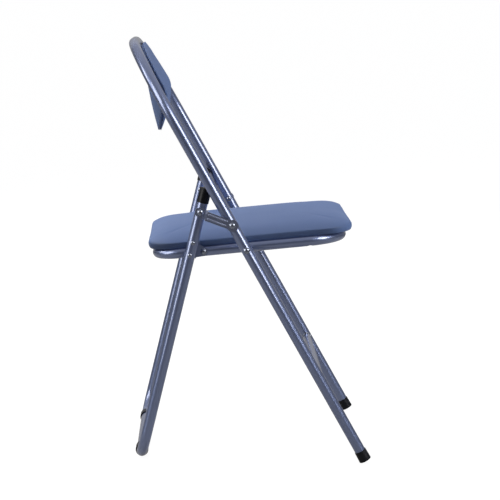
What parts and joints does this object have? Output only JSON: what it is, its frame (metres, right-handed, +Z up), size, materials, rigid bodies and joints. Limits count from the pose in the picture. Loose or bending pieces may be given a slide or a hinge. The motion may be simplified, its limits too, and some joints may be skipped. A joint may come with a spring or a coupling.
{
  "type": "folding chair",
  "caption": "Folding chair with a bent steel tube frame, a padded seat that flips up as it folds, a curved padded back and plastic feet.",
  "frame": {"origin": "on the floor in the middle of the open chair's footprint box", "axes": "+X the way the sitter faces, +Y the sitter's left, +Z up"},
  "size_m": [0.4437, 0.4528, 0.783],
  "materials": {
    "grey_paint": "gloss metallic silver-grey",
    "plated_strip": "bright zinc plate",
    "plated_steel": "zinc plate",
    "black_plastic": "moulded satin",
    "vinyl": "smooth vinyl cover over foam",
    "plywood": "raw plywood"
  },
  "bodies": {
    "frame": {"front_frame": "grey_paint", "front_crossbar": "grey_paint", "back_board": "vinyl", "back_pad": "vinyl", "back_tabs": "grey_paint", "back_screws": "plated_steel", "foot_cap_left": "black_plastic", "link_front_washer_left": "plated_steel", "link_front_rivet_left": "plated_steel", "seat_spacer_left": "grey_paint", "seat_front_rivet_left": "plated_steel", "foot_cap_right": "black_plastic", "link_front_washer_right": "plated_steel", "link_front_rivet_right": "plated_steel", "seat_spacer_right": "grey_paint", "seat_front_rivet_right": "plated_steel"},
    "seat": {"seat_frame": "grey_paint", "seat_board": "plywood", "seat_cushion": "vinyl", "seat_screws": "plated_steel"},
    "rear": {"rear_frame": "grey_paint", "rear_top_cap_left": "black_plastic", "floor_glide_left": "black_plastic", "seat_bracket_left": "grey_paint", "bracket_rivets_left": "plated_steel", "rear_leg_rivet_left": "plated_steel", "seat_rear_washer_left": "plated_steel", "seat_rear_rivet_left": "plated_steel", "rear_top_cap_right": "black_plastic", "floor_glide_right": "black_plastic", "seat_bracket_right": "grey_paint", "bracket_rivets_right": "plated_steel", "rear_leg_rivet_right": "plated_steel", "seat_rear_washer_right": "plated_steel", "seat_rear_rivet_right": "plated_steel"},
    "link_left": {"link_left": "plated_strip", "link_rear_rivet_left": "plated_steel"},
    "link_right": {"link_right": "plated_strip", "link_rear_rivet_right": "plated_steel"}
  },
  "joints": [
    {"name": "seat_fold", "type": "hinge", "parent": "frame", "child": "seat", "pos_m": [-0.00651, 0, 0.401], "axis": [0, -1, 0], "range_deg": [0, 111]},
    {"name": "rear_fold", "type": "hinge", "parent": "seat", "child": "rear", "pos_m": [-0.08472, 0, 0.39416], "axis": [0, -1, 0], "range_deg": [-74, 1]},
    {"name": "link_left_fold", "type": "hinge", "parent": "frame", "child": "link_left", "pos_m": [-0.03224, 0.222, 0.4476], "axis": [0, -1, 0], "range_deg": [-1, 121]},
    {"name": "link_right_fold", "type": "hinge", "parent": "frame", "child": "link_right", "pos_m": [-0.03224, -0.222, 0.4476], "axis": [0, -1, 0], "range_deg": [-1, 121]}
  ],
  "couplings": [
    {"joint": "rear_fold", "follows": "seat_fold", "ratio": -0.6546},
    {"joint": "link_left_fold", "follows": "seat_fold", "ratio": 1.0723},
    {"joint": "link_right_fold", "follows": "seat_fold", "ratio": 1.0723}
  ]
}
